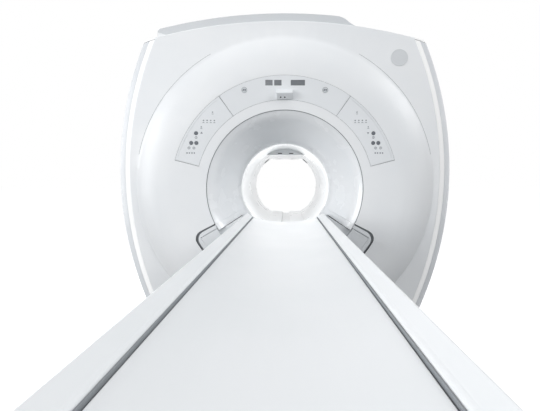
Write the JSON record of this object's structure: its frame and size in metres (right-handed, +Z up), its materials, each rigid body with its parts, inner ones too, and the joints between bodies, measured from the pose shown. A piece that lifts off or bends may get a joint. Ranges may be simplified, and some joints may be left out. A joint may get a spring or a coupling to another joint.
{
  "type": "mri scanner",
  "caption": "Cylindrical-bore MRI scanner with moulded covers, a flared tunnel with control band, and a patient table on a lifting pedestal with a sliding cradle.",
  "frame": {"origin": "on the floor under the magnet isocentre, in the middle of the four holes in the magnet's feet", "axes": "+X to the right of someone standing at the foot of the table, +Y along the bore from the table into the tunnel, +Z up"},
  "size_m": [2.1738, 4.04, 2.1698],
  "materials": {
    "vessel_paint": "satin paint",
    "machine_steel": "brushed",
    "bare_aluminium": "extruded",
    "resin": "cast epoxy",
    "glass_fibre": "laminated",
    "copper_strip": "bare",
    "black_rubber": "moulded",
    "liner_white": "satin",
    "flare_white": "gloss",
    "cover_white": "gloss",
    "edge_white": "gloss",
    "side_grey": "satin",
    "crown_grey": "satin",
    "panel_grey": "satin",
    "lens_smoke": "smoked",
    "lamp_dark": "polished",
    "key_dark": "moulded",
    "button_grey": "satin",
    "dock_grey": "satin",
    "plinth_dark": "powder coat",
    "frame_paint": "powder coat",
    "base_paint": "powder coat",
    "shroud_white": "satin",
    "rail_white": "gloss",
    "hull_grey": "satin",
    "cradle_white": "gloss",
    "motor_dark": "paint"
  },
  "bodies": {
    "gantry": {"bore_bridge": "liner_white", "bore_ceiling_panel": "liner_white", "bore_liner": "liner_white", "coil_wedges": "black_rubber", "cold_head": "machine_steel", "display_lens": "lens_smoke", "display_panel": "panel_grey", "dock_surround": "dock_grey", "front_cover": "cover_white", "front_flare": "flare_white", "front_frame": "frame_paint", "front_guide_sleeve": "frame_paint", "gradient_coil": "resin", "left_edge_trim": "edge_white", "left_keypad": "panel_grey", "left_side_cover": "side_grey", "light_housing": "panel_grey", "light_lens": "lamp_dark", "lower_shroud": "shroud_white", "magnet_vessel": "vessel_paint", "plinth": "plinth_dark", "ram_cylinder": "frame_paint", "rear_cover": "cover_white", "rear_flare": "flare_white", "rear_frame": "frame_paint", "rear_guide_sleeve": "frame_paint", "rf_birdcage": "copper_strip", "rf_coil_former": "glass_fibre", "right_edge_trim": "edge_white", "right_keypad": "panel_grey", "right_side_cover": "side_grey", "service_turret": "machine_steel", "table_base": "base_paint", "top_cover": "crown_grey"},
    "table": {"ram_rod": "machine_steel", "front_guide_post": "machine_steel", "rear_guide_post": "machine_steel", "table_frame": "bare_aluminium", "upper_shroud": "shroud_white", "left_rail": "rail_white", "right_rail": "rail_white", "table_hull": "hull_grey", "foot_cover": "rail_white", "drive_motor": "motor_dark", "drive_belt": "black_rubber"},
    "sliding_cradle": {"cradle": "cradle_white"},
    "drive_pulley": {"drive_pulley": "bare_aluminium"},
    "idler_pulley": {"idler_pulley": "bare_aluminium"},
    "release_handle": {"release_handle": "machine_steel"},
    "left_upper_key": {"left_upper_key": "key_dark"},
    "left_outer_key": {"left_outer_key": "key_dark"},
    "left_inner_key": {"left_inner_key": "key_dark"},
    "left_round_button": {"left_round_button": "button_grey"},
    "right_upper_key": {"right_upper_key": "key_dark"},
    "right_outer_key": {"right_outer_key": "key_dark"},
    "right_inner_key": {"right_inner_key": "key_dark"},
    "right_round_button": {"right_round_button": "button_grey"}
  },
  "joints": [
    {"name": "table_lift", "type": "slide", "parent": "gantry", "child": "table", "axis": [0, 0, 1], "range_m": [-0.2, 0]},
    {"name": "cradle_slide", "type": "slide", "parent": "table", "child": "sliding_cradle", "axis": [0, 1, 0], "range_m": [0, 1.65]},
    {"name": "drive_pulley_spin", "type": "hinge", "parent": "table", "child": "drive_pulley", "pos_m": [0, -3.02, 0.775], "axis": [1, 0, 0], "range_deg": [-3670, 0]},
    {"name": "idler_pulley_spin", "type": "hinge", "parent": "table", "child": "idler_pulley", "pos_m": [0, -0.7, 0.775], "axis": [1, 0, 0], "range_deg": [-3670, 0]},
    {"name": "release_handle_pull", "type": "hinge", "parent": "table", "child": "release_handle", "pos_m": [0, -3.124, 0.689], "axis": [-1, 0, 0], "range_deg": [0, 30], "stiffness_Nm_per_rad": 0.5, "springref_deg": -17.19},
    {"name": "left_upper_key_press", "type": "slide", "parent": "gantry", "child": "left_upper_key", "axis": [-0.1132, 0.9911, 0.0704], "range_m": [0, 0.0015], "stiffness_N_per_m": 400, "springref_m": -0.001},
    {"name": "left_outer_key_press", "type": "slide", "parent": "gantry", "child": "left_outer_key", "axis": [-0.1199, 0.9911, 0.0583], "range_m": [0, 0.0015], "stiffness_N_per_m": 400, "springref_m": -0.001},
    {"name": "left_inner_key_press", "type": "slide", "parent": "gantry", "child": "left_inner_key", "axis": [-0.1186, 0.9911, 0.0609], "range_m": [0, 0.0015], "stiffness_N_per_m": 400, "springref_m": -0.001},
    {"name": "left_round_button_press", "type": "slide", "parent": "gantry", "child": "left_round_button", "axis": [-0.0507, 0.9911, 0.1233], "range_m": [0, 0.0015], "stiffness_N_per_m": 400, "springref_m": -0.001},
    {"name": "right_upper_key_press", "type": "slide", "parent": "gantry", "child": "right_upper_key", "axis": [0.1132, 0.9911, 0.0704], "range_m": [0, 0.0015], "stiffness_N_per_m": 400, "springref_m": -0.001},
    {"name": "right_outer_key_press", "type": "slide", "parent": "gantry", "child": "right_outer_key", "axis": [0.1199, 0.9911, 0.0583], "range_m": [0, 0.0015], "stiffness_N_per_m": 400, "springref_m": -0.001},
    {"name": "right_inner_key_press", "type": "slide", "parent": "gantry", "child": "right_inner_key", "axis": [0.1186, 0.9911, 0.0609], "range_m": [0, 0.0015], "stiffness_N_per_m": 400, "springref_m": -0.001},
    {"name": "right_round_button_press", "type": "slide", "parent": "gantry", "child": "right_round_button", "axis": [0.0507, 0.9911, 0.1233], "range_m": [0, 0.0015], "stiffness_N_per_m": 400, "springref_m": -0.001}
  ],
  "couplings": [
    {"joint": "drive_pulley_spin", "follows": "cradle_slide", "rad_per_m": -38.76},
    {"joint": "idler_pulley_spin", "follows": "cradle_slide", "rad_per_m": -38.76}
  ]
}
